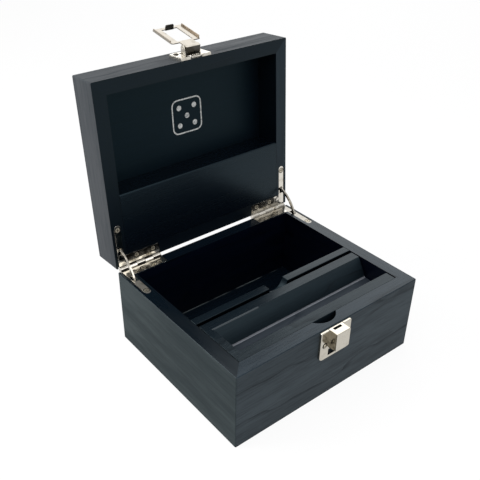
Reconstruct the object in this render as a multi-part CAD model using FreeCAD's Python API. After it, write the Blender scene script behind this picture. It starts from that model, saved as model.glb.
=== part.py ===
import FreeCAD
import Part
import math
import os
from FreeCAD import Vector

# A small lidded wooden box with a lift-out tray, stop hinges and a hasp latch.
# Millimetres, +Z up, +X to the right, the front faces -Y.
# The origin is the centre of the underside of the base.

# Box
box_width = 180.0
box_depth = 150.0
base_height = 65.5
lid_height = 28.0
wall = 11.0
lid_gap = 0.3              # daylight between rim and lid when shut
corner_round = 1.0         # upright outer corners
edge_round = 0.6           # long outer edges
bottom_thick = 6.0
panel_ledge = 5.0          # how far the bottom and top panels reach into the walls
panel_fit = 0.1            # play round a let-in panel
lid_top_thick = 5.0
lid_open_angle = 94.0

# Compartments
divider_thick = 6.6
divider_fit = 0.1
divider_notch_radius = 9.4
tray_gap = 0.8             # play at each end of the tray
tray_front_gap = 0.3       # it stands pushed to the front
tray_rear_gap = 3.0
tray_depth = 45.9
tray_height = 20.0
tray_sink = 0.3            # tray top below the rim
tray_end_rim = 6.4
tray_front_rim = 8.9
tray_rear_rim = 8.2
well_depth = 15.5
well_slope = 9.0           # run of each sloping side of the well
rail_size = 6.0
thumb_chord = 23.6
thumb_reach = 6.4
thumb_drop = 24.0

# Lid inside
recess_length = 77.6       # front to rear
recess_rail_thick = 8.0
inner_panel_thick = 4.5
panel_chamfer = 0.8

# Stop hinges
leaf_thick = 2.0
leaf_inset = 2.8           # side arm from the outer face
side_arm_width = 5.3
side_arm_length = 37.6
rear_arm_width = 9.6
rear_arm_length = 38.0
leaf_fit = 0.1
mortise_play = 0.9         # mortise past the outer side of a side arm
leaf_inner_round = 1.5
knuckle_set_back = 1.5     # pin line behind the rear face
knuckle_radius = 2.3
knuckle_count = 5
knuckle_gap = 0.2
knuckle_clear = 0.35
hinge_pin_radius = 1.0
pin_fit = 0.05
stay_reach_middle = 14.3   # pin line to the middle of the stay's curve
stay_reach_leaf = 17.0     # pin line to the stay where it leaves an open leaf
stay_width = 2.3
stay_thick = 1.4
stay_foot_radius = 1.5     # cross pin at each end
stay_foot_length = 4.8
stay_clear = 0.3
stay_rest = 0.15           # foot below the leaf at rest
slot_width = 3.4
slot_play = 0.9            # slot past the slanting stay

# Wood screws
screw_head_radius = 2.2
screw_head_depth = 1.3
screw_shank_radius = 1.1
screw_length = 8.5
screw_point = 2.0
screw_fit = 0.08
cross_width = 0.5
cross_span = 2.6
cross_depth = 0.6
dome_height = 1.1
dome_radius = 2.0
rear_screw_near = 19.5     # from the outer side face
rear_screw_far = 34.9
rear_screw_back = 6.6      # from the rear face
side_screw_back = 33.5

# Catch and hasp
sheet = 0.8
catch_width = 30.0
bracket_width = 27.8
latch_pan_depth = 2.2
catch_height = 25.4
catch_drop = 1.0           # catch top edge below the rim
latch_corner_round = 3.0
latch_edge_round = 0.5
catch_box_width = 13.4
catch_box_depth = 9.0
catch_box_drop = 15.5
catch_box_skirt = 1.7      # slant of its cheeks below the front face
catch_nose_round = 1.4     # lower corners of its front
catch_window_width = 14.0
catch_window_bottom = 2.3  # metal left under the window
catch_slot_width = 7.6
catch_slot_depth = 2.3
tongue_out = latch_pan_depth
tongue_width = 7.0
tongue_thick = 0.9
tongue_drop = 3.8
tongue_hole_radius = 1.4
bracket_height = 18.2
bracket_lift = 0.4         # bracket above the lid rim
bracket_bridge = 2.1       # height of the flanges' inner corners
bracket_mouth = 10.6       # gap between the flanges
bracket_strap = 0.7        # strap on the wood that carries the tongue
bracket_room = 6.7         # opening above the pin line
catch_screw_out = 10.9     # from the middle
bracket_screw_out = 9.8
catch_screw_drop = 13.1    # below the rim
bracket_screw_up = 13.6    # above the rim
hasp_pin_out = 6.9         # pin line from the wood
hasp_pin_up = 8.0          # pin line above the base rim
hasp_pin_radius = 1.0
hasp_open_angle = 166.0
hasp_width = 27.0
hasp_offset = 1.9          # outer face from the pin line, towards the wood
hasp_window_width = 14.2
hasp_window_start = 7.4
hasp_window_length = 21.9
hasp_end_bar = 3.2
hasp_lip = 1.4
hasp_block_width = 12.4
hasp_block_back = 4.0
hasp_block_out = 4.3
hasp_shoulder = 5.4        # where the side rails begin
hasp_tab_width = 7.6
hasp_tab_reach = 3.5
hasp_cheek_front = 3.2
ear_clear = 0.25
ear_radius = 2.6
pin_end = 0.4

# Worked out from the above
half_width = box_width / 2
half_depth = box_depth / 2
front = -half_depth
rear = half_depth
inner_half = half_width - wall
inner_front = front + wall
inner_rear = rear - wall
rim = base_height
lid_rim = rim + lid_gap
lid_top = lid_rim + lid_height
pin_y = rear + knuckle_set_back
pin_z = rim + lid_gap / 2
tray_front = inner_front + tray_front_gap
tray_rear = tray_front + tray_depth
tray_half = inner_half - tray_gap
tray_top = rim - tray_sink
tray_bottom = tray_top - tray_height
divider_front = tray_rear + tray_rear_gap
divider_rear = divider_front + divider_thick
recess_rear = inner_front + recess_length
arm_middle = leaf_inset + side_arm_width / 2
far = 400.0


def block(x0, y0, z0, x1, y1, z1):
    corner = Vector(min(x0, x1), min(y0, y1), min(z0, z1))
    return Part.makeBox(abs(x1 - x0), abs(y1 - y0), abs(z1 - z0), corner)


def rod_x(radius, x0, x1, y, z):
    return Part.makeCylinder(radius, x1 - x0, Vector(x0, y, z), Vector(1, 0, 0))


def extruded(points, direction):
    wire = Part.makePolygon([Vector(*p) for p in points + points[:1]])
    return Part.Face(wire).extrude(Vector(*direction))


def joined(shapes):
    whole = shapes[0]
    for shape in shapes[1:]:
        whole = whole.fuse(shape)
    return whole.removeSplitter()


def without(shape, tools):
    for tool in tools:
        shape = shape.cut(tool)
    return shape


def edges_along(shape, axis, test):
    picked = []
    for edge in shape.Edges:
        if len(edge.Vertexes) != 2:
            continue
        a, b = edge.Vertexes[0].Point, edge.Vertexes[1].Point
        way = b.sub(a)
        if way.Length < 1e-6 or abs(abs(way.dot(axis)) / way.Length - 1) > 1e-6:
            continue
        if test(a.add(b).multiply(0.5)):
            picked.append(edge)
    return picked


def mirrored(shape):
    return shape.mirror(Vector(0, 0, 0), Vector(1, 0, 0))


def on_side(shape, side):
    return shape if side < 0 else mirrored(shape)


def save(name, shape):
    if not shape.isValid():
        print("not valid:", name)
    shape.exportStep("parts/" + name + ".step")
    print(name, len(shape.Solids), round(shape.Volume, 1))


# Opened pose

def with_lid(shape):
    """Turns a piece of the shut lid to the photographed open angle."""
    turned = shape.copy()
    turned.rotate(Vector(0, pin_y, pin_z), Vector(1, 0, 0), -lid_open_angle)
    return turned


def with_hasp(shape):
    """Turns a piece of the latched hasp back over its pin, then with the lid."""
    turned = shape.copy()
    turned.rotate(Vector(0, hasp_y, hasp_z), Vector(1, 0, 0), -hasp_open_angle)
    return with_lid(turned)


# Screws

def wood_screw(at, into, dome=False):
    """A screw at a point of the surface, its shank along a direction."""
    way = Vector(*into)
    start = Vector(*at)
    shank = Part.makeCylinder(screw_shank_radius, screw_length - screw_point, start, way)
    tip_from = start.add(Vector(way).multiply(screw_length - screw_point))
    tip = Part.makeCone(screw_shank_radius, 0.2, screw_point, tip_from, way)
    if dome:
        ball_radius = (dome_radius ** 2 + dome_height ** 2) / (2 * dome_height)
        centre = start.add(Vector(way).multiply(ball_radius - dome_height))
        ball = Part.makeSphere(ball_radius, centre)
        slab_from = start.sub(Vector(way).multiply(dome_height + 1))
        slab = Part.makeCylinder(dome_radius + 1, dome_height + 1, slab_from, way)
        head = ball.common(slab)
        face = start.sub(Vector(way).multiply(dome_height))
    else:
        head = Part.makeCone(screw_head_radius, screw_shank_radius, screw_head_depth, start, way)
        face = start
    screw = joined([shank, tip, head])
    return without(screw, cross_recess(face, way))


def cross_recess(face, way):
    side_a = Vector(0, 0, 1) if abs(way.z) < 0.5 else Vector(0, 1, 0)
    side_b = way.cross(side_a)
    arms = []
    for long_way, short_way in ((side_a, side_b), (side_b, side_a)):
        corner = face.sub(Vector(long_way).multiply(cross_span / 2))
        corner = corner.sub(Vector(short_way).multiply(cross_width / 2))
        corner = corner.sub(Vector(way).multiply(0.2))
        edges = [corner]
        edges.append(edges[0].add(Vector(long_way).multiply(cross_span)))
        edges.append(edges[1].add(Vector(short_way).multiply(cross_width)))
        edges.append(edges[0].add(Vector(short_way).multiply(cross_width)))
        wire = Part.makePolygon(edges + [edges[0]])
        arms.append(Part.Face(wire).extrude(Vector(way).multiply(cross_depth + 0.2)))
    return arms


def screw_hole(at, into, dome=False):
    way = Vector(*into)
    start = Vector(*at)
    hole = Part.makeCylinder(screw_shank_radius + screw_fit, screw_length + 0.3, start, way)
    if dome:
        return hole
    grow = screw_fit
    wide = screw_head_radius + grow
    sink = Part.makeCone(wide, screw_shank_radius + grow, screw_head_depth, start, way)
    return hole.fuse(sink)


# Stop hinges, made for the left side and mirrored to the right

def leaf_outline(z0, thick, grow):
    """The L of a leaf as a plate; grow widens it for its mortise."""
    x0 = -half_width + leaf_inset - grow
    x1 = x0 + side_arm_width + 2 * grow
    x_end = -half_width + leaf_inset + rear_arm_length + grow
    y_front = rear - rear_arm_width - grow
    y_tip = rear - side_arm_length - grow
    side = block(x0, y_tip + side_arm_width / 2 + grow, z0, x1, pin_y, z0 + thick)
    tip_middle = Vector((x0 + x1) / 2, y_tip + side_arm_width / 2 + grow, z0)
    tip = Part.makeCylinder(side_arm_width / 2 + grow, thick, tip_middle)
    arm = block(x0, y_front, z0, x_end, pin_y, z0 + thick)
    plate = joined([side, tip, arm])
    ends = edges_along(plate, Vector(0, 0, 1), lambda p: abs(p.x - x_end) < 0.01 and p.y < rear)
    plate = plate.makeFillet(leaf_inner_round, ends)
    inside = edges_along(plate, Vector(0, 0, 1),
                         lambda p: abs(p.x - x1) < 0.01 and abs(p.y - y_front) < 0.01)
    return plate.makeFillet(leaf_inner_round, inside)


def knuckle_spans():
    start = -half_width + leaf_inset
    step = rear_arm_length / knuckle_count
    spans = []
    for number in range(knuckle_count):
        low = start + number * step + knuckle_gap / 2
        spans.append((low, low + step - knuckle_gap))
    return spans


def leaf_screw_points(z):
    side = -half_width
    points = [(side + rear_screw_near, rear - rear_screw_back, z)]
    points.append((side + rear_screw_far, rear - rear_screw_back, z))
    points.append((side + arm_middle, rear - side_screw_back, z))
    return points


def hinge_leaf(z0, outer_face, into, own):
    """A leaf with its knuckles; own picks every other knuckle."""
    plate = leaf_outline(z0, leaf_thick, 0.0)
    spans = knuckle_spans()
    barrels = []
    gaps = []
    for number, (low, high) in enumerate(spans):
        if number % 2 == own:
            barrels.append(rod_x(knuckle_radius, low, high, pin_y, pin_z))
        else:
            clear = knuckle_radius + knuckle_clear
            gaps.append(rod_x(clear, low - knuckle_gap, high + knuckle_gap, pin_y, pin_z))
    behind = block(-half_width - 1, pin_y, z0 - 5, 0, pin_y + 10, z0 + 5)
    leaf = without(plate, gaps + [behind])
    leaf = joined([leaf] + barrels)
    bore = rod_x(hinge_pin_radius + pin_fit, -half_width - 1, 0, pin_y, pin_z)
    slot_front = pin_y - stay_reach_leaf - stay_width / 2 - slot_play
    slot_rear = pin_y - stay_reach_middle + stay_width / 2 + stay_clear
    slot_left = -half_width + arm_middle - slot_width / 2
    slot = block(slot_left, slot_front, z0 - 1, slot_left + slot_width, slot_rear, z0 + leaf_thick + 1)
    ends = edges_along(slot, Vector(0, 0, 1), lambda p: p.y < slot_front + 0.1)
    slot = slot.makeFillet(slot_width * 0.45, ends)
    holes = [screw_hole(point, into) for point in leaf_screw_points(outer_face)]
    return without(leaf, [bore, slot] + holes)


def leaf_mortise(z0):
    """Room in the wood for a leaf, its barrel and the curved stay."""
    seat = leaf_outline(z0, leaf_thick, leaf_fit)
    x0 = -half_width + leaf_inset - leaf_fit
    x1 = -half_width + leaf_inset + rear_arm_length + leaf_fit
    barrel = rod_x(knuckle_radius + knuckle_clear, x0, x1, pin_y, pin_z)
    y_tip = rear - side_arm_length + side_arm_width / 2
    beside = block(x0 - mortise_play, y_tip, z0, x0 + 1, pin_y, z0 + leaf_thick)
    return [seat, barrel, beside]


def stay_pocket(direction):
    """Mortise that takes half of the stay when the lid is shut."""
    reach, swing = foot_place()
    grow = stay_foot_radius + stay_clear
    deep = reach * math.sin(math.radians(swing)) + grow + stay_clear
    below = math.radians(swing - lid_open_angle / 2)
    y0 = pin_y - reach * math.cos(below) - grow
    y1 = pin_y - reach * math.cos(math.radians(swing)) + grow
    x0 = -half_width + arm_middle - stay_foot_length / 2 - stay_clear
    x1 = -half_width + arm_middle + stay_foot_length / 2 + stay_clear
    return block(x0, y0, pin_z, x1, y1, pin_z + direction * deep)


def stay_curve():
    """Radius of the stay's curve, and how far behind the pin its centre lies."""
    half = math.radians(lid_open_angle / 2)
    near = stay_reach_middle
    leaf = stay_reach_leaf
    offset = (leaf ** 2 - near ** 2) / (2 * (near - leaf * math.cos(half)))
    return near + offset, offset


def reach_at(swing):
    """Distance from the pin line to the stay at an angle from its middle."""
    radius, offset = stay_curve()
    turn = math.radians(swing)
    return math.sqrt(radius ** 2 - (offset * math.sin(turn)) ** 2) - offset * math.cos(turn)


def foot_place():
    """Reach and angle at which a foot lies just under the leaf."""
    under = lid_gap / 2 + leaf_thick + stay_rest + stay_foot_radius
    swing = lid_open_angle / 2
    for _ in range(8):
        swing = lid_open_angle / 2 + math.degrees(math.asin(under / reach_at(swing)))
    return reach_at(swing), swing


def swung_point(reach, swing):
    """A point of the stay's plane, by its angle from the middle of the open stay."""
    turn = math.radians(lid_open_angle / 2 - swing)
    return Vector(0, pin_y - reach * math.cos(turn), pin_z + reach * math.sin(turn))


def lid_stay():
    """A flat curved strip; the cross pins at its ends stop under the leaves."""
    radius, offset = stay_curve()
    reach, swing = foot_place()
    middle = -half_width + arm_middle
    centre = swung_point(-offset, 0)
    centre.x = middle - stay_thick / 2
    across = Vector(1, 0, 0)
    ring = Part.makeCylinder(radius + stay_width / 2, stay_thick, centre, across)
    ring = ring.cut(Part.makeCylinder(radius - stay_width / 2, stay_thick, centre, across))
    ends = [swung_point(reach, swing), swung_point(reach, -swing)]
    outside = [e.add(e.sub(Vector(0, centre.y, centre.z)).normalize().multiply(radius)) for e in ends]
    corner = swung_point(3 * radius, 0)
    fan = [Vector(0, centre.y, centre.z), outside[0], corner, outside[1]]
    keep = extruded([(centre.x - 1, p.y, p.z) for p in fan], (stay_thick + 2, 0, 0))
    pieces = [ring.common(keep)]
    for end in ends:
        start = Vector(middle - stay_foot_length / 2, end.y, end.z)
        pieces.append(Part.makeCylinder(stay_foot_radius, stay_foot_length, start, across))
    return joined(pieces)


def hinge_pin():
    x0 = -half_width + leaf_inset
    return rod_x(hinge_pin_radius, x0, x0 + rear_arm_length, pin_y, pin_z)


# Wooden walls

def wall_ring(z0, z1, round_bottom, round_top):
    outer = block(-half_width, front, z0, half_width, rear, z1)
    uprights = edges_along(outer, Vector(0, 0, 1), lambda p: True)
    outer = outer.makeFillet(corner_round, uprights)
    level = z0 if round_bottom else z1
    face = max(outer.Faces, key=lambda f: f.Area - 1e6 * (abs(f.CenterOfMass.z - level) > 0.01))
    outer = outer.makeFillet(edge_round, face.Edges)
    inner = block(-inner_half, inner_front, z0 - 1, inner_half, inner_rear, z1 + 1)
    return outer.cut(inner)


def mitre_wedge(side, z0, z1):
    """The quarter of the plan that one mitred wall takes."""
    h, d = half_width, half_depth
    w = wall + 10
    reach = far - h
    if side == "front":
        points = [(-h - reach, -d - reach), (h + reach, -d - reach), (h - w, -d + w), (-h + w, -d + w)]
    elif side == "rear":
        points = [(h + reach, d + reach), (-h - reach, d + reach), (-h + w, d - w), (h - w, d - w)]
    elif side == "left":
        points = [(-h - reach, d + reach), (-h - reach, -d - reach), (-h + w, -d + w), (-h + w, d - w)]
    else:
        points = [(h + reach, -d - reach), (h + reach, d + reach), (h - w, d - w), (h - w, -d + w)]
    points = [(x, y, z0 - 1) for x, y in points]
    return extruded(points, (0, 0, z1 - z0 + 2))


def base_cutouts():
    tools = [block(-inner_half - panel_ledge, inner_front - panel_ledge, -1,
                   inner_half + panel_ledge, inner_rear + panel_ledge, bottom_thick)]
    for side in (-1, 1):
        cuts = leaf_mortise(rim - leaf_thick) + [stay_pocket(-1)]
        cuts += [screw_hole(p, (0, 0, -1)) for p in leaf_screw_points(rim)]
        tools += [on_side(tool, side) for tool in cuts]
    radius = (thumb_chord ** 2 / 4 + thumb_reach ** 2) / (2 * thumb_reach)
    centre = Vector(0, inner_front - thumb_reach + radius, rim - thumb_drop)
    tools.append(Part.makeCylinder(radius, thumb_drop + 1, centre))
    for x in (-catch_screw_out, catch_screw_out):
        tools.append(screw_hole((x, front - latch_pan_depth, rim - catch_screw_drop), (0, 1, 0), True))
    return tools


def lid_cutouts():
    tools = [block(-inner_half - panel_ledge, inner_front - panel_ledge, lid_top - lid_top_thick,
                   inner_half + panel_ledge, inner_rear + panel_ledge, lid_top + 1)]
    for side in (-1, 1):
        cuts = leaf_mortise(lid_rim) + [stay_pocket(1)]
        cuts += [screw_hole(p, (0, 0, 1)) for p in leaf_screw_points(lid_rim)]
        tools += [on_side(tool, side) for tool in cuts]
    for x in (-bracket_screw_out, bracket_screw_out):
        tools.append(screw_hole((x, front - latch_pan_depth, rim + bracket_screw_up), (0, 1, 0), True))
    return tools


def walls(ring, tools, z0, z1):
    whole = without(ring, tools)
    return {side: whole.common(mitre_wedge(side, z0, z1)) for side in ("front", "rear", "left", "right")}


# Pieces inside the base

def let_in_panel(z0, z1):
    x = inner_half + panel_ledge - panel_fit
    y0 = inner_front - panel_ledge + panel_fit
    y1 = inner_rear + panel_ledge - panel_fit
    return block(-x, y0, z0, x, y1, z1)


def divider():
    x = inner_half - divider_fit
    board = block(-x, divider_front, bottom_thick, x, divider_rear, rim)
    notch = Part.makeCylinder(divider_notch_radius, divider_thick + 2,
                              Vector(0, divider_front - 1, rim), Vector(0, 1, 0))
    return board.cut(notch)


def tray_rail(side):
    x0 = -inner_half
    rail = block(x0, inner_front, tray_bottom - rail_size, x0 + rail_size, divider_front, tray_bottom)
    inner = edges_along(rail, Vector(0, 1, 0), lambda p: p.x > x0 + 1 and p.z < tray_bottom - 1)
    return on_side(rail.makeFillet(rail_size / 3, inner), side)


def rolling_tray():
    """A block with a trough that runs out at its right end."""
    body = block(-tray_half, tray_front, tray_bottom, tray_half, tray_rear, tray_top)
    uprights = edges_along(body, Vector(0, 0, 1), lambda p: True)
    body = body.makeFillet(edge_round, uprights)
    y0 = tray_front + tray_front_rim
    y1 = tray_rear - tray_rear_rim
    floor = tray_top - well_depth
    slope = well_slope / well_depth
    x0 = -tray_half + tray_end_rim
    above = 1.0
    points = [(x0, y0 - slope * above, tray_top + above), (x0, y0 + well_slope, floor)]
    points += [(x0, y1 - well_slope, floor), (x0, y1 + slope * above, tray_top + above)]
    trough = extruded(points, (box_width, 0, 0))
    return body.cut(trough)


# Pieces inside the lid

def lid_inner_panel():
    x = inner_half - panel_fit
    panel = block(-x, recess_rear, lid_rim, x, inner_rear - panel_fit, lid_rim + inner_panel_thick)
    lip = edges_along(panel, Vector(1, 0, 0), lambda p: abs(p.y - recess_rear) < 0.01 and p.z < lid_rim + 1)
    return panel.makeChamfer(panel_chamfer, lip)


def lid_recess_rail():
    x = inner_half - panel_fit
    return block(-x, recess_rear, lid_rim + inner_panel_thick, x,
                 recess_rear + recess_rail_thick, lid_top - lid_top_thick)


# Catch on the base and hasp on the lid

hasp_y = front - hasp_pin_out
hasp_z = rim + hasp_pin_up


def pressed_pan(width, z0, z1, round_low):
    """A shallow pressed plate, hollow behind, on the front face."""
    h = width / 2
    outer = block(-h, front - latch_pan_depth, z0, h, front, z1)
    level = z0 if round_low else z1
    soft = edges_along(outer, Vector(0, 1, 0), lambda p: abs(p.z - level) < 0.01)
    outer = outer.makeFillet(latch_corner_round, soft)
    hard = edges_along(outer, Vector(0, 1, 0), lambda p: abs(p.z - (z0 + z1 - level)) < 0.01)
    outer = outer.makeFillet(latch_edge_round, hard)
    face = [f for f in outer.Faces if abs(f.CenterOfMass.y - front + latch_pan_depth) < 0.01]
    outer = outer.makeFillet(latch_edge_round, face[0].Edges)
    inner = block(-h + sheet, front - latch_pan_depth + sheet, z0 + sheet, h - sheet, front + 1, z1 - sheet)
    near = edges_along(inner, Vector(0, 1, 0), lambda p: abs(p.z - level) < sheet + 0.01)
    inner = inner.makeFillet(latch_corner_round - sheet, near)
    return outer, inner


def catch_plate():
    top = rim - catch_drop
    bottom = top - catch_height
    outer, inner = pressed_pan(catch_width, bottom, top, True)
    h = catch_box_width / 2
    nose = front - catch_box_depth
    low = top - catch_box_drop
    heel = low - catch_box_skirt
    cheeks = [(-h, front, top), (-h, nose, top), (-h, nose, low), (-h, front, heel)]
    box = extruded(cheeks, (catch_box_width, 0, 0))
    lip = edges_along(box, Vector(1, 0, 0), lambda p: p.y < nose + 0.1 and p.z > top - 0.1)
    box = box.makeFillet(latch_edge_round, lip)
    slanted = [e for e in box.Edges if abs(abs(e.CenterOfMass.x) - h) < 0.01
               and abs(e.CenterOfMass.z - (low + heel) / 2) < 0.3]
    box = box.makeFillet(catch_nose_round, slanted)
    hollow_h = h - sheet
    hollow = [(-hollow_h, front + 1, top - sheet), (-hollow_h, nose + sheet, top - sheet)]
    hollow += [(-hollow_h, nose + sheet, low - 5), (-hollow_h, front + 1, low - 5)]
    hollow = extruded(hollow, (2 * hollow_h, 0, 0))
    w = catch_window_width / 2
    window = block(-w, front - latch_pan_depth - 1, bottom + catch_window_bottom, w, front + 1, heel)
    shell = joined([outer.cut(inner), box])
    slot_y = front - tongue_out - tongue_thick / 2
    slot = block(-catch_slot_width / 2, slot_y - catch_slot_depth / 2, top - 2,
                 catch_slot_width / 2, slot_y + catch_slot_depth / 2, top + 1)
    slits = []
    for side in (-1, 1):
        x = side * (h + 0.35)
        slits.append(block(x - 0.25, front - latch_pan_depth - 1, top - 1.6, x + 0.25, front + 1, top + 1))
    holes = []
    for x in (-catch_screw_out, catch_screw_out):
        at = (x, front - latch_pan_depth, rim - catch_screw_drop)
        holes.append(screw_hole(at, (0, 1, 0), True))
    return without(shell, [hollow, window, slot] + slits + holes)


def hasp_bracket():
    low = lid_rim + bracket_lift
    high = low + bracket_height
    outer, inner = pressed_pan(bracket_width, low, high, False)
    gap = hasp_block_width / 2 + ear_clear
    y = front - latch_pan_depth - 1
    room = block(-gap, y, low + bracket_bridge, gap, front + 1, hasp_z + bracket_room)
    m = bracket_mouth / 2
    mouth = block(-m, y, low - 1, m, front + 1, low + bracket_bridge + 1)
    shell = without(outer, [inner, room, mouth])
    pieces = [shell]
    for side in (-1, 1):
        x0 = min(side * gap, side * (gap + sheet))
        ear = rod_x(ear_radius, x0, x0 + sheet, hasp_y, hasp_z)
        foot = block(x0, hasp_y, hasp_z - ear_radius, x0 + sheet, front, hasp_z + ear_radius)
        pieces += [ear, foot]
    t = tongue_width / 2
    tip = rim - tongue_drop
    level = low + bracket_bridge
    tongue = block(-t, front - tongue_out - tongue_thick, tip + t, t, front - tongue_out, level)
    nose_from = Vector(0, front - tongue_out - tongue_thick, tip + t)
    nose = Part.makeCylinder(t, tongue_thick, nose_from, Vector(0, 1, 0))
    step = block(-t, front - tongue_out - tongue_thick, level - tongue_thick, t, front, level)
    strap = block(-t, front - bracket_strap, level - tongue_thick, t, front, high - sheet / 2)
    pieces += [tongue, nose, step, strap]
    bracket = joined(pieces)
    eye = Part.makeCylinder(tongue_hole_radius, tongue_thick + 2, Vector(0, nose_from.y - 1, tip + t),
                            Vector(0, 1, 0))
    bore = rod_x(hasp_pin_radius + pin_fit, -far, far, hasp_y, hasp_z)
    holes = []
    for x in (-bracket_screw_out, bracket_screw_out):
        at = (x, front - latch_pan_depth, rim + bracket_screw_up)
        holes.append(screw_hole(at, (0, 1, 0), True))
    return without(bracket, [bore, eye] + holes)


def hasp_pin():
    x = hasp_block_width / 2 + ear_clear + sheet + pin_end
    return rod_x(hasp_pin_radius, -x, x, hasp_y, hasp_z)


def hasp_frame():
    """The swinging loop, drawn latched: it hangs from the pin over the catch."""
    face = hasp_y + hasp_offset
    back = face + sheet
    h = hasp_width / 2
    start = hasp_z - hasp_shoulder
    end = hasp_z - hasp_window_start - hasp_window_length - hasp_end_bar
    plate = block(-h, face, end, h, back, start)
    corners = edges_along(plate, Vector(0, 1, 0), lambda p: p.z > start - 0.1)
    plate = plate.makeFillet(2.4, corners)
    corners = edges_along(plate, Vector(0, 1, 0), lambda p: p.z < end + 0.1)
    plate = plate.makeFillet(1.2, corners)
    lips = []
    for side in (-1, 1):
        x0 = min(side * h, side * (h - sheet))
        lips.append(block(x0, back - 0.1, end + 1.2, x0 + sheet, back + hasp_lip, start - 2.4))
    b = hasp_block_width / 2
    neck = block(-b, face, start - 1, b, back, hasp_z + hasp_block_back)
    top = hasp_z + hasp_block_back
    apron = block(-b, hasp_y - hasp_block_out, top - sheet, b, back, top)
    cheeks = []
    for side in (-1, 1):
        x0 = min(side * b, side * (b - sheet))
        cheeks.append(block(x0, hasp_y - hasp_block_out, hasp_z - hasp_cheek_front, x0 + sheet, back,
                            hasp_z + hasp_block_back))
    t = hasp_tab_width / 2
    bar = end + hasp_end_bar
    tab = block(-t, face, bar - sheet / 2, t, back + hasp_tab_reach, bar + sheet)
    tab = tab.cut(block(-t, back, bar - sheet, t, far, bar))
    tips = edges_along(tab, Vector(0, 0, 1), lambda p: p.y > back + 1)
    tab = tab.makeChamfer(sheet, tips)
    frame = joined([plate, neck, apron] + lips + cheeks)
    w = hasp_window_width / 2
    window = block(-w, face - 1, bar, w, back + 1, hasp_z - hasp_window_start)
    bore = rod_x(hasp_pin_radius + pin_fit, -far, far, hasp_y, hasp_z)
    return joined([without(frame, [window, bore]), tab])


# All pieces

def base_pieces():
    ring = wall_ring(0.0, rim, False, True)
    parts = walls(ring, base_cutouts(), 0.0, rim)
    for side in parts:
        save("base_" + side + "_wall", parts[side])
    save("base_bottom_panel", let_in_panel(0.0, bottom_thick))
    save("compartment_divider", divider())
    save("tray_rail_left", tray_rail(-1))
    save("tray_rail_right", tray_rail(1))
    save("rolling_tray", rolling_tray())


def lid_pieces():
    ring = wall_ring(lid_rim, lid_top, False, True)
    parts = walls(ring, lid_cutouts(), lid_rim, lid_top)
    for side in parts:
        save("lid_" + side + "_wall", with_lid(parts[side]))
    save("lid_top_panel", with_lid(let_in_panel(lid_top - lid_top_thick, lid_top)))
    save("lid_inner_panel", with_lid(lid_inner_panel()))
    save("lid_recess_rail", with_lid(lid_recess_rail()))


def hinge_pieces():
    base_screws = []
    lid_screws = []
    for name, side in (("left", -1), ("right", 1)):
        base_leaf = hinge_leaf(rim - leaf_thick, rim, (0, 0, -1), 0)
        lid_leaf = hinge_leaf(lid_rim, lid_rim, (0, 0, 1), 1)
        save(name + "_hinge_base_leaf", on_side(base_leaf, side))
        save(name + "_hinge_lid_leaf", with_lid(on_side(lid_leaf, side)))
        save(name + "_hinge_pin", on_side(hinge_pin(), side))
        save(name + "_lid_stay", on_side(lid_stay(), side))
        base_screws += [on_side(wood_screw(p, (0, 0, -1)), side) for p in leaf_screw_points(rim)]
        up = [on_side(wood_screw(p, (0, 0, 1)), side) for p in leaf_screw_points(lid_rim)]
        lid_screws += [with_lid(screw) for screw in up]
    save("base_hinge_screws", Part.makeCompound(base_screws))
    save("lid_hinge_screws", Part.makeCompound(lid_screws))


def latch_pieces():
    save("catch_plate", catch_plate())
    face = front - latch_pan_depth
    spots = (-catch_screw_out, catch_screw_out)
    screws = [wood_screw((x, face, rim - catch_screw_drop), (0, 1, 0), True) for x in spots]
    save("catch_screws", Part.makeCompound(screws))
    save("hasp_bracket", with_lid(hasp_bracket()))
    spots = (-bracket_screw_out, bracket_screw_out)
    screws = [wood_screw((x, face, rim + bracket_screw_up), (0, 1, 0), True) for x in spots]
    save("bracket_screws", with_lid(Part.makeCompound(screws)))
    save("hasp_pin", with_lid(hasp_pin()))
    save("hasp_frame", with_hasp(hasp_frame()))


os.makedirs("parts", exist_ok=True)
base_pieces()
lid_pieces()
hinge_pieces()
latch_pieces()
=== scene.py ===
import bpy
import math
from mathutils import Matrix, Vector


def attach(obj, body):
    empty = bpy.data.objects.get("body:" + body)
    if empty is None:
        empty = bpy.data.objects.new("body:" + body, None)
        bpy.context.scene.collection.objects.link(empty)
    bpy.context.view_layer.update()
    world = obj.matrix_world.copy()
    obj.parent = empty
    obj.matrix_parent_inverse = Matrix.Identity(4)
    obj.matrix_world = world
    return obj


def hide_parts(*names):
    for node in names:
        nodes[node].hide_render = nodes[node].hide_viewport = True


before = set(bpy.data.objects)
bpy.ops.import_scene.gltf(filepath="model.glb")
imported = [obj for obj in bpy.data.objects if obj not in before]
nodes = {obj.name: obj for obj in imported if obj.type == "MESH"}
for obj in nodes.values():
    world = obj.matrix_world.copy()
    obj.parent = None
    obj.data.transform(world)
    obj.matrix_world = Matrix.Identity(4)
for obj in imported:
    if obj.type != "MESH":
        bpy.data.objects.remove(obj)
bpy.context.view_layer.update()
print("frame loaded,", len(nodes), "nodes")


# Helpers

def deselectAll():
    if bpy.context.mode != "OBJECT":
        bpy.ops.object.mode_set(mode="OBJECT")
    bpy.ops.object.select_all(action="DESELECT")


def pick(piece):
    deselectAll()
    piece.select_set(True)
    bpy.context.view_layer.objects.active = piece


def applyModifier(piece, name):
    pick(piece)
    bpy.ops.object.modifier_apply(modifier=name)


def dress(nodeName, material):
    # the CAD mesh stays, only the object's slot changes
    piece = nodes[nodeName]
    for materialSlot in piece.material_slots:
        materialSlot.link = "OBJECT"
        materialSlot.material = material


# Camera and stage

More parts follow.
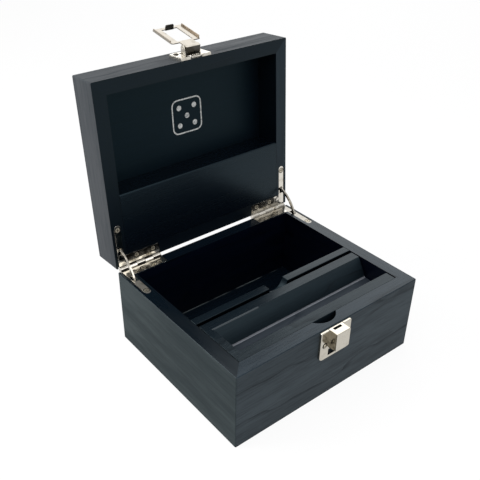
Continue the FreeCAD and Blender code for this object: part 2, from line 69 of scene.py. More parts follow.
cameraLook = {
    "place": (-0.2917, -0.3207, 0.3724),
    "down": 32.78,            # degrees below the horizon
    "turn": -37.53,           # degrees from looking along +Y
    "roll": 0.13,
    "lens": 50.5,
    "shift": (0.0429, 0.0107),
}


def makeCamera(look):
    deselectAll()
    bpy.ops.object.camera_add(location=look["place"])
    camera = bpy.context.object
    camera.name = "photoCamera"
    camera.rotation_euler = (math.radians(90 - look["down"]), math.radians(look["roll"]),
                             math.radians(look["turn"]))
    camera.data.sensor_width = 36
    camera.data.lens = look["lens"]
    camera.data.shift_x, camera.data.shift_y = look["shift"]
    camera.data.clip_start = 0.01
    camera.data.clip_end = 20
    bpy.context.scene.camera = camera


stageLook = {
    "size": 12.0,
    "floorTint": (0.86, 0.86, 0.87, 1),
    "ownWhite": 0.9,          # how much of the floor is plain white to the camera
    "worldLight": 0.62,
}


def makeFloor(look):
    deselectAll()
    bpy.ops.mesh.primitive_plane_add(size=look["size"], location=(0, 0, -0.0002))
    floor = bpy.context.object
    floor.name = "paleFloor"
    material = bpy.data.materials.new("paleFloorPaint")
    material.use_nodes = True
    tree = material.node_tree
    tree.nodes.clear()
    output = tree.nodes.new("ShaderNodeOutputMaterial")
    mix = tree.nodes.new("ShaderNodeMixShader")
    paint = tree.nodes.new("ShaderNodeBsdfDiffuse")
    paint.inputs["Color"].default_value = look["floorTint"]
    white = tree.nodes.new("ShaderNodeEmission")
    rays = tree.nodes.new("ShaderNodeLightPath")
    seen = tree.nodes.new("ShaderNodeMath")
    seen.operation = "MAXIMUM"
    share = tree.nodes.new("ShaderNodeMath")
    share.operation = "MULTIPLY"
    share.inputs[1].default_value = look["ownWhite"]
    through = tree.nodes.new("ShaderNodeMath")
    through.operation = "MAXIMUM"
    tree.links.new(rays.outputs["Is Camera Ray"], seen.inputs[0])
    tree.links.new(rays.outputs["Is Glossy Ray"], seen.inputs[1])
    tree.links.new(seen.outputs[0], through.inputs[0])
    tree.links.new(rays.outputs["Is Transmission Ray"], through.inputs[1])
    tree.links.new(through.outputs[0], share.inputs[0])
    tree.links.new(share.outputs[0], mix.inputs["Fac"])
    tree.links.new(paint.outputs[0], mix.inputs[1])
    tree.links.new(white.outputs[0], mix.inputs[2])
    tree.links.new(mix.outputs[0], output.inputs["Surface"])
    floor.data.materials.append(material)


def makeWorld(look):
    world = bpy.data.worlds.new("studioAir")
    bpy.context.scene.world = world
    world.use_nodes = True
    tree = world.node_tree
    tree.nodes.clear()
    output = tree.nodes.new("ShaderNodeOutputWorld")
    background = tree.nodes.new("ShaderNodeBackground")
    rays = tree.nodes.new("ShaderNodeLightPath")
    level = tree.nodes.new("ShaderNodeMath")
    level.operation = "MAXIMUM"
    level.inputs[1].default_value = look["worldLight"]
    shown = tree.nodes.new("ShaderNodeMath")
    shown.operation = "MAXIMUM"
    through = tree.nodes.new("ShaderNodeMath")
    through.operation = "MAXIMUM"
    tree.links.new(rays.outputs["Is Camera Ray"], shown.inputs[0])
    tree.links.new(rays.outputs["Is Glossy Ray"], shown.inputs[1])
    tree.links.new(shown.outputs[0], through.inputs[0])
    tree.links.new(rays.outputs["Is Transmission Ray"], through.inputs[1])
    tree.links.new(through.outputs[0], level.inputs[0])
    tree.links.new(level.outputs[0], background.inputs["Strength"])
    tree.links.new(background.outputs[0], output.inputs["Surface"])


lampLooks = [
    {"name": "topSoftbox", "place": (-0.25, -0.15, 1.1), "aim": (0, 0, 0.08), "size": 1.0, "power": 7},
    {"name": "backSoftbox", "place": (0.95, 0.95, 0.85), "aim": (0, 0, 0.1), "size": 1.1, "power": 6.2},
    {"name": "frontSoftbox", "place": (0.15, -1.1, 0.7), "aim": (0, 0, 0.08), "size": 0.9, "power": 5},
    {"name": "leftSoftbox", "place": (-0.55, 0.38, 0.52), "aim": (-0.05, 0.05, 0.14), "size": 0.45,
     "power": 5.2},
]


def makeLamps(looks):
    for look in looks:
        deselectAll()
        bpy.ops.object.light_add(type="AREA", location=look["place"])
        lamp = bpy.context.object
        lamp.name = look["name"]
        lamp.data.shape = "SQUARE"
        lamp.data.size = look["size"]
        lamp.data.energy = look["power"]
        way = Vector(look["aim"]) - Vector(look["place"])
        lamp.rotation_euler = way.to_track_quat("-Z", "Y").to_euler()


makeCamera(cameraLook)
makeFloor(stageLook)
makeWorld(stageLook)
makeLamps(lampLooks)
bpy.context.scene.view_settings.view_transform = "Standard"
print("camera, floor and lamps set")


# Stained wood, with painted light and shade in places

outsideLook = {
    "light": (0.0230, 0.0320, 0.0390, 1),   # stain between the growth rings
    "dark": (0.0004, 0.0012, 0.0030, 1),    # stain sunk into rings and pores
    "rings": 8.0,
    "ringScale": 18.0,
    "ringStretch": 0.08,      # along the grain
    "ringTilt": 0.55,         # lets rim and face show different rings
    "ringEdge": 0.20,
    "ringShare": 0.52,        # how much of the drawing the rings, then the pores, make
    "wave": 48.0,
    "waveStretch": 0.4,
    "wander": 0.16,
    "patch": 28.0,            # where the rings come and go
    "patchStretch": 0.25,
    "patchEdge": (0.36, 0.50),
    "cloud": 60.0,
    "cloudStretch": 0.12,
    "cloudEdge": (0.40, 0.60),
    "pore": 850.0,
    "poreStretch": 0.06,
    "poreEdge": (0.40, 0.52),
    "poreShare": 0.20,
    "roughness": (0.60, 0.78),
    "bump": 0.35,
    "bumpHeight": 0.0002,
    "shine": 0.25,
    "shineTint": (0.78, 0.93, 1.0, 1),
}
# a darker, smoother inner finish, darkened further as painted shade inside the box and lid, in the lid's
# recess and on the tray rails under the tray
insideStainAndShadeLook = dict(outsideLook, light=(0.0016, 0.0042, 0.0080, 1), dark=(0.0006, 0.0018, 0.0040, 1),
                  ringShare=0.3, bump=0.12, roughness=(0.24, 0.32),
                  shine=0.3, shineTint=(0.52, 0.83, 1.0, 1))
innerPanelShadeLook = dict(insideStainAndShadeLook, light=(0.0010, 0.0022, 0.0045, 1), dark=(0.0004, 0.0010, 0.0024, 1))
deepShadeLook = dict(insideStainAndShadeLook, light=(0.0012, 0.0022, 0.0050, 1), dark=(0.0005, 0.0009, 0.0028, 1), shine=0.1)


def addNode(tree, kind, values=None, **settings):
    node = tree.nodes.new(kind)
    for name, value in settings.items():
        setattr(node, name, value)
    for name, value in (values or {}).items():
        node.inputs[name].default_value = value
    return node


def addMath(tree, operation, first, second):
    # either value may be a socket or a number
    node = tree.nodes.new("ShaderNodeMath")
    node.operation = operation
    for socket, value in zip(node.inputs, (first, second)):
        if isinstance(value, (int, float)):
            socket.default_value = value
        else:
            tree.links.new(value, socket)
    return node.outputs[0]


def addNoise(tree, place, stretch, tilt, **values):
    moved = addNode(tree, "ShaderNodeMapping", {"Rotation": (tilt, 0, 0), "Scale": (stretch, 1, 1)})
    tree.links.new(place, moved.inputs["Vector"])
    noise = addNode(tree, "ShaderNodeTexNoise", values)
    tree.links.new(moved.outputs[0], noise.inputs["Vector"])
    return noise.outputs["Fac"]


def addRange(tree, value, low, high, start=0.0, stop=1.0):
    span = addNode(tree, "ShaderNodeMapRange",
                   {"From Min": low, "From Max": high, "To Min": start, "To Max": stop})
    tree.links.new(value, span.inputs["Value"])
    return span.outputs[0]


def grainHeight(tree, place, look):
    # 1 on plain wood and 0 in a growth ring or pore
    tilt = look["ringTilt"]
    hill = addNoise(tree, place, look["ringStretch"], tilt,
                    **{"Scale": look["ringScale"], "Detail": 3.0, "Roughness": 0.48, "Distortion": 0.2})
    wave = addNoise(tree, place, look["waveStretch"], tilt, **{"Scale": look["wave"], "Detail": 2.0})
    hill = addMath(tree, "ADD", hill, addMath(tree, "MULTIPLY", wave, look["wander"]))
    step = addMath(tree, "FRACT", addMath(tree, "MULTIPLY", hill, look["rings"]), 0.0)
    ring = addRange(tree, step, 0.0, look["ringEdge"])
    patch = addNoise(tree, place, look["patchStretch"], tilt, **{"Scale": look["patch"], "Detail": 2.0})
    patchShare = addRange(tree, patch, *look["patchEdge"])
    gone = addMath(tree, "MULTIPLY", addMath(tree, "SUBTRACT", 1.0, ring), patchShare)
    ringPart = addMath(tree, "MULTIPLY", addMath(tree, "SUBTRACT", 1.0, gone), look["ringShare"])
    cloud = addNoise(tree, place, look["cloudStretch"], tilt,
                     **{"Scale": look["cloud"], "Detail": 5.0, "Roughness": 0.68})
    cloudPart = addRange(tree, cloud, *look["cloudEdge"], 0.0, 1 - look["ringShare"] - look["poreShare"])
    pore = addNoise(tree, place, look["poreStretch"], 0.0,
                    **{"Scale": look["pore"], "Detail": 2.0, "Roughness": 0.5})
    porePart = addRange(tree, pore, *look["poreEdge"], 0.0, look["poreShare"])
    return addMath(tree, "ADD", addMath(tree, "ADD", ringPart, cloudPart), porePart)


lidPin = Vector((0, 0.0765, 0.06565))     # the hinge pins' axis
lidOpen = math.radians(94)
wornEdge = (0.40, 0.56)                   # where a broken-up zone's noise goes from bare to full
grainSpan = (0.1, 0.9)                    # the grain's strengths between a zone's two roughnesses


def shutAxes(tree, place, ofLid):
    # X is the distance from the middle plane and side keeps its sign, Y and Z are the shut box's own
    spot = place
    if ofLid:
        back = lidPin - Matrix.Rotation(lidOpen, 3, "X") @ lidPin
        shut = addNode(tree, "ShaderNodeMapping", {"Rotation": (lidOpen, 0, 0), "Location": back})
        tree.links.new(place, shut.inputs["Vector"])
        spot = shut.outputs[0]
    apart = tree.nodes.new("ShaderNodeSeparateXYZ")
    tree.links.new(spot, apart.inputs[0])
    return {"X": addMath(tree, "ABSOLUTE", apart.outputs["X"], 0.0), "side": apart.outputs["X"],
            "Y": apart.outputs["Y"], "Z": apart.outputs["Z"]}


def addBand(tree, value, low, high):
    near = addNode(tree, "ShaderNodeMath", {1: (low + high) / 2, 2: (high - low) / 2}, operation="COMPARE")
    tree.links.new(value, near.inputs[0])
    return near.outputs[0]


def addZone(tree, axes, place, zone):
    # 1 inside the zone's box and rings and 0 outside, broken up by noise in places where the zone says so
    share = zone.get("share", 1.0)
    for axis, (low, high) in zone.get("box", {}).items():
        share = addMath(tree, "MULTIPLY", addBand(tree, axes[axis], low, high), share)
    around = None
    for middle in zone.get("rings", []):
        squares = []
        for axis, spot in zip(zone["plane"], middle):
            offset = addMath(tree, "ABSOLUTE", addMath(tree, "SUBTRACT", axes[axis], spot), 0.0)
            squares.append(addMath(tree, "POWER", offset, 2.0))
        far = addMath(tree, "SQRT", addMath(tree, "ADD", *squares), 0.0)
        band = addBand(tree, far, *zone["reach"])
        around = band if around is None else addMath(tree, "MAXIMUM", around, band)
    if around is not None:
        share = addMath(tree, "MULTIPLY", around, share)
    if "worn" in zone:
        wear = addNoise(tree, place, 1.0, 0.0, **{"Scale": zone["worn"], "Detail": 3.0})
        share = addMath(tree, "MULTIPLY", share, addRange(tree, wear, *wornEdge))
    return share


def mixZones(tree, place, zones, ofLid, height, tint, rough):
    # a zone with a "dark" tint or a pair of roughness values keeps the grain
    axes = shutAxes(tree, place, ofLid)
    for zone in zones:
        share = addZone(tree, axes, place, zone)
        other = addNode(tree, "ShaderNodeMix", data_type="RGBA", blend_type=zone.get("blend", "MULTIPLY"))
        other.inputs["B"].default_value = zone["tint"]
        if "dark" in zone:
            grain = addNode(tree, "ShaderNodeMix", data_type="RGBA")
            grain.inputs["A"].default_value = zone["dark"]
            grain.inputs["B"].default_value = zone["tint"]
            tree.links.new(height, grain.inputs["Factor"])
            tree.links.new(grain.outputs["Result"], other.inputs["B"])
        tree.links.new(share, other.inputs["Factor"])
        tree.links.new(tint, other.inputs["A"])
        tint = other.outputs["Result"]
        smoother = tree.nodes.new("ShaderNodeMix")
        if isinstance(zone["rough"], tuple):
            tree.links.new(addRange(tree, height, *grainSpan, *zone["rough"]), smoother.inputs["B"])
        else:
            smoother.inputs["B"].default_value = zone["rough"]
        tree.links.new(share, smoother.inputs["Factor"])
        tree.links.new(rough, smoother.inputs["A"])
        rough = smoother.outputs["Result"]
    return tint, rough


def makeWood(name, turn, look, seed, zones=(), ofLid=False):
    # turn brings the board's length onto the pattern's X, seed moves the pattern along
    material = bpy.data.materials.new(name)
    material.use_nodes = True
    tree = material.node_tree
    link = tree.links.new
    shader = tree.nodes["Principled BSDF"]
    place = tree.nodes.new("ShaderNodeTexCoord").outputs["Object"]
    turned = addNode(tree, "ShaderNodeMapping",
                     {"Rotation": turn, "Location": (seed, seed * 0.7, seed * 1.3)})
    link(place, turned.inputs["Vector"])
    height = grainHeight(tree, turned.outputs[0], look)
    ramp = addNode(tree, "ShaderNodeValToRGB")
    ramp.color_ramp.elements[0].color = look["dark"]
    ramp.color_ramp.elements[1].color = look["light"]
    link(height, ramp.inputs["Fac"])
    tint = ramp.outputs["Color"]
    rough = addRange(tree, height, 0.0, 1.0, look["roughness"][1], look["roughness"][0])
    tint, rough = mixZones(tree, place, zones, ofLid, height, tint, rough)
    link(tint, shader.inputs["Base Color"])
    link(rough, shader.inputs["Roughness"])
    bump = addNode(tree, "ShaderNodeBump", {"Strength": look["bump"], "Distance": look["bumpHeight"]})
    link(height, bump.inputs["Height"])
    link(bump.outputs["Normal"], shader.inputs["Normal"])
    shader.inputs["Specular IOR Level"].default_value = look["shine"]
    shader.inputs["Specular Tint"].default_value = look["shineTint"]
    return material


alongX = (0, 0, 0)
alongY = (0, 0, math.radians(90))
alongLid = (lidOpen, 0, 0)                # undoes the open angle
alongLidSide = (lidOpen, 0, math.radians(90))

# painted light: the lid's boards take a lighter, greyer copy of the stain than the base
litLidLook = dict(outsideLook, light=(0.0390, 0.0405, 0.0445, 1), dark=(0.0070, 0.0090, 0.0115, 1),
               shine=0.2, shineTint=(0.6, 0.88, 1.0, 1))
litPanelLook = dict(litLidLook, shine=0.16, shineTint=(0.43, 0.84, 1.0, 1), ringStretch=0.045, wander=0.05)
# painted shade: the left base wall takes a darker, flatter copy of the stain
shadedLeftLook = dict(outsideLook, light=(0.0165, 0.0250, 0.0270, 1), dark=(0.0085, 0.0140, 0.0160, 1),
                poreShare=0.12, ringShare=0.15)
rearLook = dict(outsideLook, shine=0.17)
trayLook = dict(outsideLook, light=(0.0060, 0.0110, 0.0155, 1), dark=(0.0004, 0.0012, 0.0030, 1),
                roughness=(0.42, 0.55), shine=0.21, shineTint=(0.68, 0.9, 1.0, 1))

# where the stain changes, and where shade, light and highlights are painted in, in the shut box's own axes
# painted shade on the inner faces of the base's walls
baseInsideShade = {"box": {"X": (-0.0010, 0.0792), "Y": (-0.0642, 0.0642)},
              "tint": (0.03, 0.05, 0.15, 1), "rough": 0.3}
baseRim = {"box": {"Z": (0.0652, 0.0662)}, "tint": (0.25, 0.38, 0.50, 1), "rough": (0.42, 0.21)}
shadedRim = dict(baseRim, tint=(0.08, 0.15, 0.25, 1))
catchShade = {"box": {"X": (-0.0010, 0.0072), "Y": (-0.0760, -0.0740), "Z": (0.0415, 0.0482)},
              "tint": (0.12, 0.12, 0.16, 1), "rough": 0.6}
trayRim = {"box": {"Z": (0.0649, 0.0662)}, "tint": (0.72, 0.72, 0.73, 1), "rough": (0.42, 0.21)}
# painted light: the trough's floor strip lighter than the slope above it
litTroughFloor = {"box": {"Y": (-0.0462, -0.0350), "Z": (0.0490, 0.0500)},
               "blend": "MIX", "tint": (0.026, 0.031, 0.040, 1), "dark": (0.006, 0.009, 0.014, 1),
               "rough": 0.5, "share": 0.85}
# painted highlight: a bright line along the crease between the trough's slope and floor
troughCreaseHighlight = {"box": {"Y": (-0.0355, -0.0344), "Z": (0.0490, 0.0512)},
                "blend": "MIX", "tint": (0.20, 0.21, 0.235, 1), "dark": (0.11, 0.115, 0.13, 1),
                "rough": 0.5, "share": 0.9}
# painted highlight: a light line along the left part of the well's rear top edge
rubbedEdgeAndHighlight = {"box": {"side": (-0.0730, -0.0300), "Y": (-0.0265, -0.0256), "Z": (0.0643, 0.0656)},
              "blend": "MIX", "tint": (0.11, 0.12, 0.13, 1), "dark": (0.02, 0.025, 0.03, 1),
              "rough": 0.5, "share": 0.45}
# painted shade on the divider's front face, down in the gap behind the tray
dividerFrontShade = {"box": {"Y": (-0.0152, -0.0143), "Z": (0.0, 0.0650)},
                "tint": (0.05, 0.07, 0.12, 1), "rough": 0.3}
# painted highlight: a light, broken line where the floor meets the rear wall
floorSeamHighlight = {"box": {"Y": (0.0630, 0.0642), "Z": (0.0050, 0.0070)},
             "blend": "MIX", "tint": (0.060, 0.070, 0.072, 1), "rough": 0.5, "worn": 45.0}
# painted shade in the thumb hollow
thumbHollowShade = {"box": {"X": (-0.0010, 0.0125), "Y": (-0.0712, -0.0630), "Z": (0.03, 0.0651)},
               "tint": (0.03, 0.04, 0.12, 1), "rough": 0.3}
# painted shade on the lid's inner faces
lidInsideShade = {"box": {"X": (-0.0010, 0.0792), "Y": (-0.0642, 0.0642), "Z": (0.0, 0.0890)},
             "tint": (0.02, 0.05, 0.10, 1), "rough": 0.42}
# painted shade on the lid's rims, with less of it on the right wall's rim
shadedLidRim = {"box": {"Z": (0.0640, 0.06605)}, "tint": (0.02, 0.05, 0.10, 1), "rough": 0.36}
lessShadedLidRim = dict(shadedLidRim, tint=(0.2, 0.3, 0.4, 1))

# name, turn of the grain, look, seed, zones, whether it rides with the lid, nodes
wallPlan = [
    ("frontBoardStain", alongX, outsideLook, 0.11, [baseInsideShade, baseRim, thumbHollowShade, catchShade], False,
     ["base_front_wall"]),
    ("rearBoardStain", alongX, rearLook, 0.37, [baseInsideShade, shadedRim], False, ["base_rear_wall"]),
    ("leftBoardShadedStain", alongY, shadedLeftLook, 0.23, [baseInsideShade, shadedRim], False, ["base_left_wall"]),
    ("rightBoardStain", alongY, outsideLook, 0.71, [baseInsideShade, baseRim], False, ["base_right_wall"]),
    ("lidFrontLitStain", alongLid, litLidLook, 0.51, [lidInsideShade, shadedLidRim], True, ["lid_front_wall"]),
    ("lidRearLitStain", alongLid, litLidLook, 0.93, [lidInsideShade, shadedLidRim], True, ["lid_rear_wall"]),
    ("lidLeftLitStain", alongLidSide, litLidLook, 0.45, [lidInsideShade, shadedLidRim], True, ["lid_left_wall"]),
    ("lidRightLitStain", alongLidSide, litLidLook, 0.83, [lidInsideShade, lessShadedLidRim], True, ["lid_right_wall"]),
    ("lidPanelLitStain", alongLid, litPanelLook, 0.65, [lidInsideShade, shadedLidRim], True, ["lid_top_panel"]),
    ("innerPanelStainAndShade", alongLid, innerPanelShadeLook, 0.15, [], True, ["lid_inner_panel", "lid_recess_rail"]),
    ("bottomStain", alongX, insideStainAndShadeLook, 0.67, [floorSeamHighlight], False, ["base_bottom_panel"]),
    ("railStain", alongY, deepShadeLook, 0.77, [], False, ["tray_rail_left", "tray_rail_right"]),
]
for name, turn, look, seed, zones, ofLid, dressed in wallPlan:
    stain = makeWood(name, turn, look, seed, zones, ofLid)
    for nodeName in dressed:
        dress(nodeName, stain)
print("wood stained,", len(wallPlan), "finishes")


# Plated metal, with painted shade and reflection in places

plateLook = {
    "nickel": (0.68, 0.65, 0.585, 1),
    "worn": (0.50, 0.465, 0.40, 1),
    "roughness": (0.09, 0.17),
    "cloudsPerMetre": 210.0,
    "scratches": 900.0,
    "wornEdge": (0.32, 0.5),
    "drawn": (1, 0.12, 0.12),  # draws the scratches out along Y and Z
    "bump": 0.06,
    "bumpHeight": 0.00002,
}
# dark for grime around the screws, also used for painted shade and painted reflection on the leaves
grimeAndShade = (0.025, 0.023, 0.020, 1)
# the screws' places in the shut box's own axes: out from the middle, then Y for hinges and Z for the latch
hingeScrews = [(0.0705, 0.0684), (0.0551, 0.0684), (0.08455, 0.0415)]
catchScrews = [(0.0109, 0.0524)]
bracketScrews = [(0.0098, 0.0794)]


def dirtRing(rings, plane, reach):
    return {"rings": rings, "plane": plane, "reach": reach, "blend": "MIX", "tint": grimeAndShade, "rough": 0.5}


# mottled tarnish on the hinge leaves, darkened further as painted reflection
tarnishAndReflection = {"box": {"side": (-0.0818, -0.0485), "Y": (0.0652, 0.0714)},
           "blend": "MIX", "tint": (0.075, 0.068, 0.055, 1), "rough": 0.3, "worn": 260.0, "share": 0.9}
rightTarnishAndReflection = dict(tarnishAndReflection, box={"side": (0.0485, 0.0818), "Y": (0.0652, 0.0714)}, worn=420.0, share=0.6)
# painted shade: a dark line where each leaf meets the barrel
barrelShadeLine = {"box": {"side": (-0.0875, -0.0485), "Y": (0.0735, 0.0746)},
             "blend": "MIX", "tint": grimeAndShade, "rough": 0.5}
leafZones = [
    tarnishAndReflection,
    barrelShadeLine,
    dict(barrelShadeLine, box={"side": (0.0485, 0.0875), "Y": (0.0735, 0.0746)}, share=0.5),
    dirtRing(hingeScrews, "XY", (0.0019, 0.0025)),
]
lidLeafZones = leafZones + [
    # painted reflection: the right lid leaf near black, the left lid leaf darker by half
    dict(rightTarnishAndReflection, tint=grimeAndShade, share=0.95),
    {"box": {"side": (-0.0818, -0.0485), "Y": (0.0640, 0.0714)},
     "tint": (0.42, 0.42, 0.42, 1), "rough": 0.25},
]
baseLeafZones = leafZones + [
    rightTarnishAndReflection,
    # painted shade on the base leaves' arms, darker on the right arm than on the left
    {"box": {"side": (0.0818, 0.0875), "Y": (0.0360, 0.0735)},
     "tint": (0.42, 0.42, 0.42, 1), "rough": 0.2},
    {"box": {"side": (-0.0875, -0.0818), "Y": (0.0360, 0.0560)},
     "tint": (0.68, 0.67, 0.66, 1), "rough": 0.42},
]
# painted shade on the catch's cheeks, darker and mottled over part of them
catchZones = [
    {"box": {"X": (0.0063, 0.0070), "Y": (-0.0838, -0.0773)}, "blend": "MIX", "tint": (0.33, 0.30, 0.24, 1),
     "rough": 0.2},
    {"box": {"X": (0.0063, 0.0070), "Y": (-0.0838, -0.0773), "Z": (0.045, 0.0565)}, "blend": "MIX",
     "tint": (0.10, 0.085, 0.06, 1), "rough": 0.2, "worn": 260.0, "share": 0.8},
    dirtRing(catchScrews, "XZ", (0.0017, 0.0024)),
]
# painted reflection: the hasp's apron and tab near black, the rails' outer edges darker and browner
haspZones = [
    {"box": {"X": (-0.001, 0.0063), "Y": (0.0905, 0.0925), "Z": (0.2175, 0.2250)}, "blend": "MIX",
     "tint": (0.055, 0.053, 0.048, 1), "rough": 0.3, "share": 0.92},
    {"box": {"X": (-0.001, 0.0039), "Y": (0.1222, 0.1240), "Z": (0.2302, 0.2345)}, "blend": "MIX",
     "tint": (0.06, 0.058, 0.055, 1), "rough": 0.3, "share": 0.92},
    {"box": {"X": (0.0125, 0.0134), "Z": (0.2270, 0.2330)}, "blend": "MIX", "tint": (0.24, 0.19, 0.14, 1),
     "rough": 0.25, "share": 0.8},
]
bracketZones = [dirtRing(bracketScrews, "XZ", (0.0017, 0.0024))]
baseScrewZones = [
    {"box": {"Y": (0.03, 0.08), "Z": (0.0560, 0.0653)}, "blend": "MIX", "tint": grimeAndShade, "rough": 0.5},
    dirtRing(hingeScrews, "XY", (0.0019, 0.0025)),
]
lidScrewZones = [
    {"box": {"Y": (0.03, 0.08), "Z": (0.0660, 0.0760)}, "blend": "MIX", "tint": grimeAndShade, "rough": 0.5},
    dirtRing(hingeScrews, "XY", (0.0019, 0.0025)),
]
catchScrewZones = [
    dict(dirtRing(catchScrews, "XZ", (-0.001, 0.0011)), box={"Y": (-0.0779, -0.0760)}),
    dirtRing(catchScrews, "XZ", (0.0016, 0.0024)),
]
bracketScrewZones = [
    dict(dirtRing(bracketScrews, "XZ", (-0.001, 0.0011)), box={"Y": (-0.0779, -0.0760)}),
    dirtRing(bracketScrews, "XZ", (0.0016, 0.0024)),
]


def makePlate(name, look, zones=(), ofLid=False):
    material = bpy.data.materials.new(name)
    material.use_nodes = True
    tree = material.node_tree
    link = tree.links.new
    shader = tree.nodes["Principled BSDF"]
    shader.inputs["Metallic"].default_value = 1
    place = tree.nodes.new("ShaderNodeTexCoord").outputs["Object"]
    clouds = addNode(tree, "ShaderNodeTexNoise",
                     {"Scale": look["cloudsPerMetre"], "Detail": 5.0, "Roughness": 0.65})
    link(place, clouds.inputs["Vector"])
    rough = addRange(tree, clouds.outputs["Fac"], 0.35, 0.65, *look["roughness"])
    ramp = addNode(tree, "ShaderNodeValToRGB")
    tints = (look["worn"], look["nickel"])
    for stop, spot, tint in zip(ramp.color_ramp.elements, look["wornEdge"], tints):
        stop.position = spot
        stop.color = tint
    link(clouds.outputs["Fac"], ramp.inputs["Fac"])
    tint, rough = mixZones(tree, place, zones, ofLid, clouds.outputs["Fac"], ramp.outputs["Color"], rough)
    link(tint, shader.inputs["Base Color"])
    link(rough, shader.inputs["Roughness"])
    drawn = addNode(tree, "ShaderNodeMapping", {"Scale": look["drawn"]})
    link(place, drawn.inputs["Vector"])
    scratches = addNode(tree, "ShaderNodeTexNoise", {"Scale": look["scratches"], "Detail": 2.0})
    link(drawn.outputs[0], scratches.inputs["Vector"])
    bump = addNode(tree, "ShaderNodeBump", {"Strength": look["bump"], "Distance": look["bumpHeight"]})
    link(scratches.outputs["Fac"], bump.inputs["Height"])
    link(bump.outputs["Normal"], shader.inputs["Normal"])
    return material


# painted shade: a darker copy of the nickel for the hasp
shadedHaspLook = dict(plateLook, nickel=(0.31, 0.285, 0.245, 1), worn=(0.22, 0.20, 0.165, 1))
screwLook = dict(plateLook, nickel=(0.50, 0.46, 0.37, 1), worn=(0.30, 0.27, 0.21, 1), roughness=(0.36, 0.5))
pinLook = dict(plateLook, nickel=(0.6, 0.58, 0.55, 1), roughness=(0.25, 0.4))
# painted shade: a darker copy of the nickel for the stays
shadedStayLook = dict(plateLook, nickel=(0.47, 0.44, 0.385, 1), worn=(0.35, 0.32, 0.27, 1))
stayPlate = makePlate("stayPlate", shadedStayLook)
baseLeafPlate = makePlate("baseLeafPlate", plateLook, baseLeafZones)
lidLeafPlate = makePlate("lidLeafPlate", plateLook, lidLeafZones, True)
# painted shade: a darker copy of the nickel for the catch
shadedCatchLook = dict(plateLook, nickel=(0.52, 0.49, 0.425, 1), worn=(0.46, 0.43, 0.37, 1))
catchPlate = makePlate("catchPlate", shadedCatchLook, catchZones)
# painted shade: a darker copy of the nickel for the hasp's bracket
shadedBracketLook = dict(plateLook, nickel=(0.58, 0.55, 0.49, 1), worn=(0.43, 0.40, 0.34, 1),
                   roughness=(0.22, 0.34))
bracketPlate = makePlate("bracketPlate", shadedBracketLook, bracketZones, True)
haspPlate = makePlate("haspPlate", shadedHaspLook, haspZones)
dress("base_hinge_screws", makePlate("baseScrewPlate", screwLook, baseScrewZones))
dress("lid_hinge_screws", makePlate("lidScrewPlate", screwLook, lidScrewZones, True))
dress("catch_screws", makePlate("catchScrewPlate", screwLook, catchScrewZones))
dress("bracket_screws", makePlate("bracketScrewPlate", screwLook, bracketScrewZones, True))
pinSteel = makePlate("pinSteel", pinLook)
for nodeName in ("left_hinge_pin", "right_hinge_pin", "hasp_pin"):
    dress(nodeName, pinSteel)
print("metal plated")


# Softened copies, so that edges catch the light

trayStain = makeWood("trayStain", alongX, trayLook, 0.29, [trayRim, litTroughFloor, troughCreaseHighlight, rubbedEdgeAndHighlight])
dividerStain = makeWood("dividerStain", alongX, trayLook, 0.59, [trayRim, dividerFrontShade])
softLook = {
    "merge": 0.000002,
    "flat": 1.5,              # degrees under which two faces become one
    "bevelled": 40,           # degrees past which an edge is softened
    "segments": 2,
    "smooth": 35,
}
# material, slot, body, width of the softening
softEdges = {
    "left_hinge_base_leaf": (baseLeafPlate, "hinge_plate", "base", 0.00018),
    "right_hinge_base_leaf": (baseLeafPlate, "hinge_plate", "base", 0.00018),
    "left_hinge_lid_leaf": (lidLeafPlate, "hinge_plate", "lid", 0.00018),
    "right_hinge_lid_leaf": (lidLeafPlate, "hinge_plate", "lid", 0.00018),
    "left_lid_stay": (stayPlate, "hinge_plate", "left_stay", 0.00022),
    "right_lid_stay": (stayPlate, "hinge_plate", "right_stay", 0.00022),
    "catch_plate": (catchPlate, "latch_plate", "base", 0.00014),
    "hasp_bracket": (bracketPlate, "latch_plate", "lid", 0.00014),
    "hasp_frame": (haspPlate, "latch_plate", "hasp", 0.00016),
    "rolling_tray": (trayStain, "tray_wood", "tray", 0.00025),
    "compartment_divider": (dividerStain, "inner_wood", "base", 0.00035),
}


def pieceName(nodeName):
    words = nodeName.split("_")
    return words[0] + "".join(word.capitalize() for word in words[1:]) + "Softened"


def softenPiece(nodeName, material, slotName, body, width):
    pick(nodes[nodeName])
    bpy.ops.object.duplicate()
    piece = bpy.context.object
    piece.name = pieceName(nodeName)
    for key in list(piece.keys()):
        del piece[key]
    piece.parent = None
    bpy.ops.object.mode_set(mode="EDIT")
    bpy.ops.mesh.select_all(action="SELECT")
    bpy.ops.mesh.remove_doubles(threshold=softLook["merge"])
    bpy.ops.mesh.dissolve_limited(angle_limit=math.radians(softLook["flat"]))
    bpy.ops.object.mode_set(mode="OBJECT")
    bevel = piece.modifiers.new("softEdge", "BEVEL")
    bevel.width = width
    bevel.segments = softLook["segments"]
    bevel.limit_method = "ANGLE"
    bevel.angle_limit = math.radians(softLook["bevelled"])
    bevel.use_clamp_overlap = True
    applyModifier(piece, "softEdge")
    bpy.ops.object.shade_smooth_by_angle(angle=math.radians(softLook["smooth"]))
    evened = piece.modifiers.new("evenedNormals", "WEIGHTED_NORMAL")
    evened.keep_sharp = True
    applyModifier(piece, "evenedNormals")
    piece.data.materials.clear()
    piece.data.materials.append(material)
    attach(piece, body)
    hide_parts(nodeName)


for nodeName, plan in softEdges.items():
    softenPiece(nodeName, *plan)
print("edges softened on", len(softEdges), "pieces")


# A plain five-pip die face printed on the lid's panel

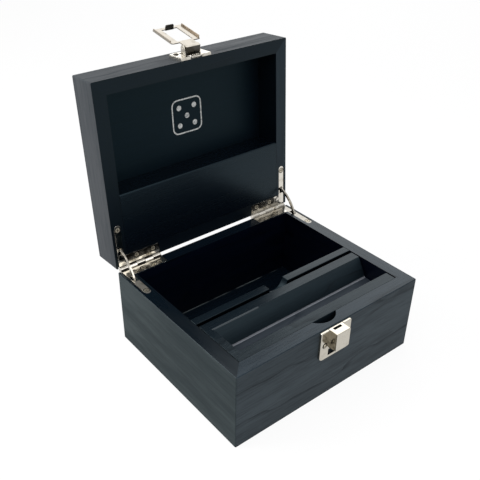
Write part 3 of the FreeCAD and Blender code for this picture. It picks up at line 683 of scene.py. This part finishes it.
printLook = {
    "middle": (0.0027, -0.0243, 0.08882),    # on the panel, in the shut box's own axes
    "side": 0.029,
    "corner": 0.0055,
    "line": 0.0011,
    "pipRadius": 0.0022,
    "pipOut": 0.0074,
    "thick": 0.00012,
    "paint": (0.46, 0.47, 0.46, 1),
    "rubbed": (0.20, 0.215, 0.22, 1),
    "rubbedEdgeAndHighlight": (0.36, 0.5),
    "rubbing": 700.0,
    "cornerSteps": 6,
    "pipSteps": 28,
}


def makePrintPaint(look):
    material = bpy.data.materials.new("dieFacePaint")
    material.use_nodes = True
    tree = material.node_tree
    shader = tree.nodes["Principled BSDF"]
    place = tree.nodes.new("ShaderNodeTexCoord").outputs["Object"]
    wear = addNoise(tree, place, 1.0, 0.0, **{"Scale": look["rubbing"], "Detail": 3.0})
    ramp = addNode(tree, "ShaderNodeValToRGB")
    tints = (look["rubbed"], look["paint"])
    for stop, spot, tint in zip(ramp.color_ramp.elements, look["rubbedEdgeAndHighlight"], tints):
        stop.position = spot
        stop.color = tint
    tree.links.new(wear, ramp.inputs["Fac"])
    tree.links.new(ramp.outputs["Color"], shader.inputs["Base Color"])
    tree.links.new(addRange(tree, wear, 0.3, 0.7, 0.65, 0.45), shader.inputs["Roughness"])
    shader.inputs["Specular IOR Level"].default_value = 0.2
    return material


def makePrint(look):
    x, y, z = look["middle"]
    deselectAll()
    bpy.ops.mesh.primitive_plane_add(size=look["side"], location=(x, y, z))
    outline = bpy.context.object
    bpy.ops.object.mode_set(mode="EDIT")
    bpy.ops.mesh.select_all(action="SELECT")
    bpy.ops.mesh.bevel(affect="VERTICES", offset=look["corner"], segments=look["cornerSteps"])
    bpy.ops.mesh.select_mode(type="FACE")
    bpy.ops.mesh.select_all(action="SELECT")
    bpy.ops.mesh.inset(thickness=look["line"])
    bpy.ops.mesh.delete(type="FACE")
    bpy.ops.object.mode_set(mode="OBJECT")
    out = look["pipOut"]
    parts = [outline]
    for across, up in ((0, 0), (-out, -out), (out, -out), (-out, out), (out, out)):
        deselectAll()
        bpy.ops.mesh.primitive_circle_add(vertices=look["pipSteps"], radius=look["pipRadius"],
                                          fill_type="NGON", location=(x + across, y + up, z))
        parts.append(bpy.context.object)
    deselectAll()
    for part in parts:
        part.select_set(True)
    bpy.context.view_layer.objects.active = outline
    bpy.ops.object.join()
    outline.name = "dieFacePrint"
    bpy.ops.object.transform_apply(location=True, rotation=True, scale=True)
    thick = outline.modifiers.new("paintThickness", "SOLIDIFY")
    thick.thickness = look["thick"]
    applyModifier(outline, "paintThickness")
    opened = Matrix.Translation(lidPin) @ Matrix.Rotation(-lidOpen, 4, "X") @ Matrix.Translation(-lidPin)
    outline.matrix_world = opened
    bpy.ops.object.transform_apply(location=True, rotation=True, scale=True)
    bpy.ops.object.mode_set(mode="EDIT")
    bpy.ops.mesh.select_all(action="SELECT")
    bpy.ops.mesh.normals_make_consistent(inside=False)
    bpy.ops.object.mode_set(mode="OBJECT")
    outline.data.materials.clear()
    outline.data.materials.append(makePrintPaint(look))
    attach(outline, "lid")


makePrint(printLook)
print("die face painted")
